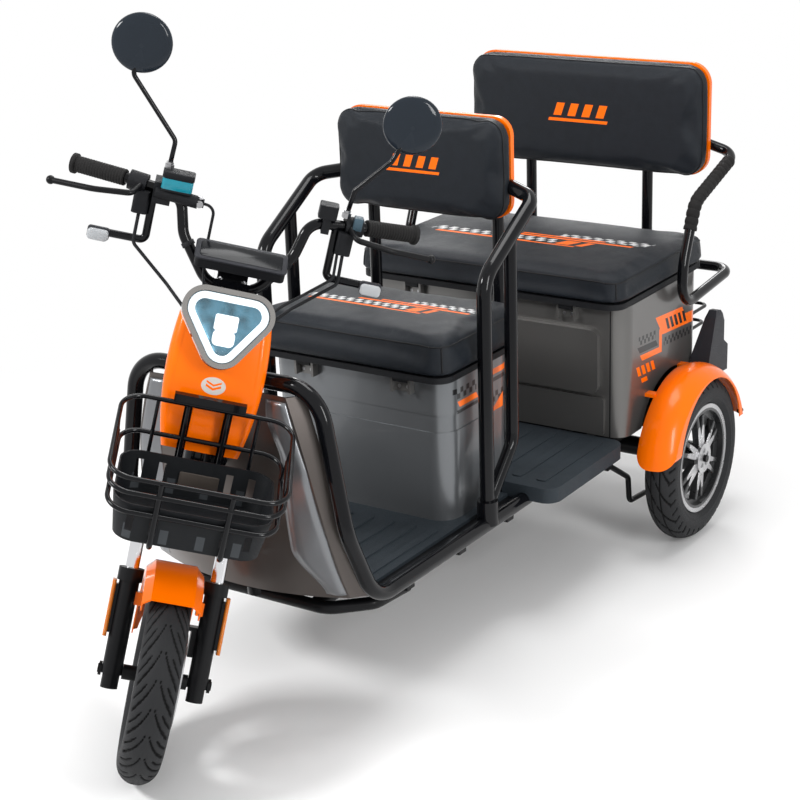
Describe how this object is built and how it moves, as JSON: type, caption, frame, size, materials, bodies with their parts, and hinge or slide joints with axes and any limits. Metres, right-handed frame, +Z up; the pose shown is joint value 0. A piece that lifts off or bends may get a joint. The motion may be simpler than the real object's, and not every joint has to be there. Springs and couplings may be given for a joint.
{
  "type": "electric tricycle",
  "caption": "Electric tricycle with a front wheel on a sprung fork, wire basket, nose lamp, two bench seats over storage boxes, backrests, side arms and covered rear wheels.",
  "frame": {"origin": "on the ground, under the middle of the tricycle's whole length and width", "axes": "+Z up, -Y towards the front wheel, +X towards the rider's left"},
  "size_m": [0.98, 2.088, 1.4562],
  "materials": {
    "tyre_rubber": "matt black tread rubber",
    "wheel_alloy": "machined and lacquered",
    "disc_steel": "brushed",
    "black_tube": "gloss black",
    "black_steel": "satin black",
    "fork_chrome": "polished",
    "orange_paint": "gloss orange",
    "grey_metallic": "metallic grey lacquer",
    "black_plastic": "moulded grain",
    "floor_rubber": "ribbed",
    "seat_vinyl": "grained vinyl",
    "amber_lens": "ribbed reflector",
    "clear_lens": "clear lens",
    "red_lens": "ribbed lens",
    "lamp_bezel": "silver grey",
    "grip_foam": "soft foam"
  },
  "bodies": {
    "frame": {"chassis": "black_steel", "cross_bars": "black_steel", "head_tube": "black_tube", "guard_rail": "black_tube", "floor_pan": "black_steel", "floor_mat": "floor_rubber", "rear_step": "floor_rubber", "leg_shield": "grey_metallic", "front_box": "grey_metallic", "battery_pack": "black_plastic", "front_backrest_pad": "seat_vinyl", "front_backrest_shell": "orange_paint", "front_arms": "black_tube", "backrest_posts": "black_tube", "rear_front_panel": "grey_metallic", "rear_door": "grey_metallic", "rear_body": "grey_metallic", "rear_backrest_pad": "seat_vinyl", "rear_backrest_shell": "orange_paint", "rear_handles": "black_tube", "handle_grips": "grip_foam", "rear_fenders": "orange_paint", "tail_lamp_housings": "black_plastic", "tail_lamp_lenses": "red_lens", "rear_axle": "black_steel", "seat_hinges": "black_steel"},
    "fork": {"fork_sliders": "black_steel", "fork_tubes": "fork_chrome", "front_axle": "disc_steel", "fork_yoke": "black_steel", "front_fender": "orange_paint", "fork_reflectors": "amber_lens", "nose_fairing": "orange_paint", "headlamp_bezel": "lamp_bezel", "headlamp_glass": "clear_lens", "basket_wire": "black_tube", "basket_tray": "black_plastic", "handlebar": "black_tube", "hand_grips": "grip_foam", "brake_levers": "black_steel", "bar_controls": "black_plastic", "mirrors": "black_plastic", "indicators": "clear_lens", "control_cables": "black_plastic"},
    "front_wheel": {"front_tyre": "tyre_rubber", "front_rim": "wheel_alloy", "front_brake_disc": "disc_steel"},
    "rear_wheel_left": {"rear_tyre_left": "tyre_rubber", "rear_rim_left": "wheel_alloy"},
    "rear_wheel_right": {"rear_tyre_right": "tyre_rubber", "rear_rim_right": "wheel_alloy"},
    "front_seat_lid": {"front_seat_base": "black_plastic", "front_cushion": "seat_vinyl"},
    "rear_seat_lid": {"rear_seat_base": "black_plastic", "rear_cushion": "seat_vinyl"}
  },
  "joints": [
    {"name": "steering", "type": "hinge", "parent": "frame", "child": "fork", "pos_m": [0, -0.67195, 0.581], "axis": [0, 0.4039, 0.9148], "range_deg": [-81, 1]},
    {"name": "front_wheel_spin", "type": "hinge", "parent": "fork", "child": "front_wheel", "pos_m": [0.02121, -0.86532, 0.20522], "axis": [0.7662, 0.5881, -0.2591], "continuous": true},
    {"name": "rear_wheel_left_spin", "type": "hinge", "parent": "frame", "child": "rear_wheel_left", "pos_m": [0.439, 0.7218, 0.211], "axis": [1, 0, 0], "continuous": true},
    {"name": "rear_wheel_right_spin", "type": "hinge", "parent": "frame", "child": "rear_wheel_right", "pos_m": [-0.439, 0.7218, 0.211], "axis": [1, 0, 0], "continuous": true},
    {"name": "front_seat_hinge", "type": "hinge", "parent": "frame", "child": "front_seat_lid", "pos_m": [0, -0.1222, 0.6203], "axis": [1, 0, 0], "range_deg": [0, 70]},
    {"name": "rear_seat_hinge", "type": "hinge", "parent": "frame", "child": "rear_seat_lid", "pos_m": [0, 0.4678, 0.6423], "axis": [1, 0, 0], "range_deg": [0, 70]}
  ]
}
